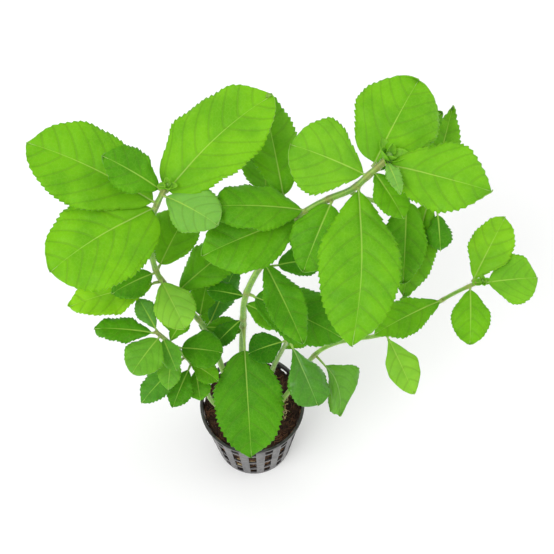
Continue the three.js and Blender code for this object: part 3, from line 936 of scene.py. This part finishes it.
def make_top_fibres(rng):
    """Loose fibres on top of the plug."""
    top, wide = PLUG_HIGH.z, PLUG_HIGH.x
    fibres = bmesh.new()
    for _ in range(FIBRES_ON_TOP):
        angle, reach = rng.uniform(0, math.tau), wide * 0.97 * math.sqrt(rng.random())
        point = Vector((math.cos(angle) * reach, math.sin(angle) * reach, 0))
        course = rng.uniform(0, math.tau)
        points = []
        for _ in range(4):
            bed = top - 0.5 * MM + COIR_CREEP * smooth_step(0.72, 1.0, math.hypot(point.x, point.y) / wide)
            points.append(point + Vector((0, 0, bed + rng.uniform(-0.3, 1.2) * MM)))
            course += rng.uniform(-0.9, 0.9)
            point = point + Vector((math.cos(course), math.sin(course), 0)) * rng.uniform(1.2, 2.8) * MM
            flat = math.hypot(point.x, point.y)
            if flat > wide * 0.98:
                point *= wide * 0.98 / flat
        strand(fibres, points, FIBRE_RADIUS * rng.uniform(0.6, 1.5))
    return finish_piece("coir_fibres_top", fibres, [COIR_FIBRE_DARK], "coir")


def make_side_fibres(rng):
    """Fibres matted against the inside of the pot, seen through its slots."""
    low, top = PLUG_LOW.z, PLUG_HIGH.z
    fibres = bmesh.new()
    for _ in range(FIBRES_ON_SIDE):
        angle, height = rng.uniform(0, math.tau), rng.uniform(low + 1.5 * MM, top + COIR_CREEP)
        course = rng.uniform(-1.3, 1.3)
        points = []
        for _ in range(4):
            reach = plug_radius(height) + rng.uniform(-0.15, 0.22) * MM
            points.append(Vector((math.cos(angle) * reach, math.sin(angle) * reach, height)))
            course += rng.uniform(-0.6, 0.6)
            angle += math.cos(course) * rng.uniform(1.0, 2.4) * MM / reach
            height = min(max(height + math.sin(course) * 2 * MM, low + MM), top + COIR_CREEP)
        strand(fibres, points, FIBRE_RADIUS * rng.uniform(0.8, 1.7))
    return finish_piece("coir_fibres_side", fibres, [COIR_FIBRE], "coir")


def make_roots(rng):
    """Pale living roots, some on top and some along the slots."""
    low, top, wide = PLUG_LOW.z, PLUG_HIGH.z, PLUG_HIGH.x
    roots = bmesh.new()
    for number in range(ROOTS):
        angle = rng.uniform(0, math.tau)
        points = []
        if number % 2:
            height = rng.uniform(low + 8 * MM, top - 6 * MM)
            for _ in range(5):
                reach = plug_radius(height) + 0.15 * MM
                points.append(Vector((math.cos(angle) * reach, math.sin(angle) * reach, height)))
                angle += rng.uniform(0.04, 0.16)
                height -= rng.uniform(-0.5, 2.0) * MM
        else:
            point = Vector((math.cos(angle), math.sin(angle), 0)) * rng.uniform(0.2, 0.7) * wide
            for _ in range(5):
                points.append(Vector((point.x, point.y, top + rng.uniform(-0.2, 0.9) * MM)))
                angle += rng.uniform(-0.7, 0.7)
                point += Vector((math.cos(angle), math.sin(angle), 0)) * 2.0 * MM
                if point.length > wide * 0.95:
                    point *= wide * 0.95 / point.length
        strand(roots, points, rng.uniform(0.22, 0.36) * MM, 6)
    for _ in range(LOOSE_BITS):
        point = Vector((rng.uniform(7, 17), rng.uniform(-9, 7), 0)) * MM
        points = []
        for step in range(5):
            points.append(Vector((point.x, point.y, top - 0.5 * MM + step * rng.uniform(0.6, 2.0) * MM)))
            angle = rng.uniform(0, math.tau)
            point += Vector((math.cos(angle), math.sin(angle), 0)) * rng.uniform(0.8, 2.0) * MM
        strand(roots, points, rng.uniform(0.16, 0.4) * MM, 6)
    return finish_piece("roots", roots, [ROOT_SKIN], "coir")


# --- Net pot ---

def dress_pot():
    """The pot keeps its CAD shape; its slots and rim get small moulded radii."""
    pot = frame["nodes"]["net_pot"]
    weld = pot.modifiers.new("weld", "WELD")
    weld.merge_threshold = 0.005 * MM
    bevel = pot.modifiers.new("moulded_edges", "BEVEL")
    bevel.width = MOULDED_RADIUS
    bevel.segments = 2
    bevel.limit_method = "ANGLE"
    bevel.angle_limit = math.radians(40)
    pot.data.materials.clear()
    pot.data.materials.append(POT_PLASTIC)


# --- Stage ---

def make_floor():
    bm = bmesh.new()
    bmesh.ops.create_grid(bm, x_segments=1, y_segments=1, size=FLOOR_REACH)
    mesh = bpy.data.meshes.new("floor")
    bm.to_mesh(mesh)
    bm.free()
    floor = bpy.data.objects.new("floor", mesh)
    bpy.context.scene.collection.objects.link(floor)
    paint = Recipe("floor_white")
    tint = paint.mix(paint.noise(3, 1), shade(0.96, 0.96, 0.96), shade(0.98, 0.98, 0.98))
    mesh.materials.append(paint.surface(Base_Color=tint, Roughness=0.9, Specular_IOR_Level=0.1))


def softbox(name, place, power):
    light = bpy.data.lights.new(name, "AREA")
    light.shape = "DISK"
    light.size = SOFTBOX_SIZE
    light.energy = power
    lamp = bpy.data.objects.new(name, light)
    lamp.location = place
    lamp.rotation_euler = (Vector((0, 0, 0.1)) - Vector(place)).to_track_quat("-Z", "Y").to_euler()
    bpy.context.scene.collection.objects.link(lamp)


def light_the_stage():
    world = bpy.data.worlds.new("studio")
    world.use_nodes = True
    background = world.node_tree.nodes["Background"]
    background.inputs["Color"].default_value = (1.0, 1.0, 1.0, 1.0)
    background.inputs["Strength"].default_value = SURROUND_LIGHT
    bpy.context.scene.world = world
    bpy.context.scene.view_settings.view_transform = "Standard"
    softbox("key_softbox", (-0.9, -0.9, 1.7), KEY_POWER)
    softbox("fill_softbox", (1.2, 0.2, 1.4), FILL_POWER)


def place_camera():
    camera = bpy.data.cameras.new("camera")
    camera.lens = CAMERA_LENS
    camera.clip_start = 0.01
    seat = bpy.data.objects.new("camera", camera)
    seat.location = (CAMERA_RIGHT, -CAMERA_BACK, CAMERA_HEIGHT)
    seat.rotation_euler = (math.radians(90 - CAMERA_ELEVATION), 0, 0)
    bpy.context.scene.collection.objects.link(seat)
    bpy.context.scene.camera = seat


place_camera()
light_the_stage()
make_floor()

leaf_nodes = sorted(node for node in frame["nodes"] if node.startswith("leaf_"))
stem_nodes = sorted(node for node in frame["nodes"] if node.startswith("stem_"))
bud_nodes = sorted(node for node in frame["nodes"] if node.startswith("bud_"))

for number, node in enumerate(leaf_nodes):
    Leaf(node, leaf_bones(node), random.Random(100 + number)).finish()

stem_lines = {node: stem_bones(node)[0] for node in stem_nodes}
leaf_bases = [leaf_bones(node)["base"] for node in leaf_nodes]
for number, (stem, *stance, length, width) in enumerate(SMALL_LEAVES):
    bones = small_leaf_bones(stem_lines[stem], *stance, length * MM, width * MM)
    Leaf(f"small_leaf_{number + 1}", bones, random.Random(200 + number)).finish()

joints = {}
for node, line in stem_lines.items():
    places = [step / 200 for step in range(201)]
    for base in leaf_bases:
        nearest = min(places, key=lambda share: (along(line, share) - base).length)
        if (along(line, nearest) - base).length < NODE_REACH:
            joints.setdefault(node, []).append(nearest)

dressed = [make_stem(node, random.Random(300 + number), joints) for number, node in enumerate(stem_nodes)]
make_hairs("stem_hairs", dressed, random.Random(7))

for number, node in enumerate(bud_nodes):
    make_bud(node, random.Random(400 + number))
make_main_shoot(stem_lines["stem_main"], random.Random(402))

make_plug()
make_top_fibres(random.Random(11))
make_side_fibres(random.Random(12))
make_roots(random.Random(13))
dress_pot()
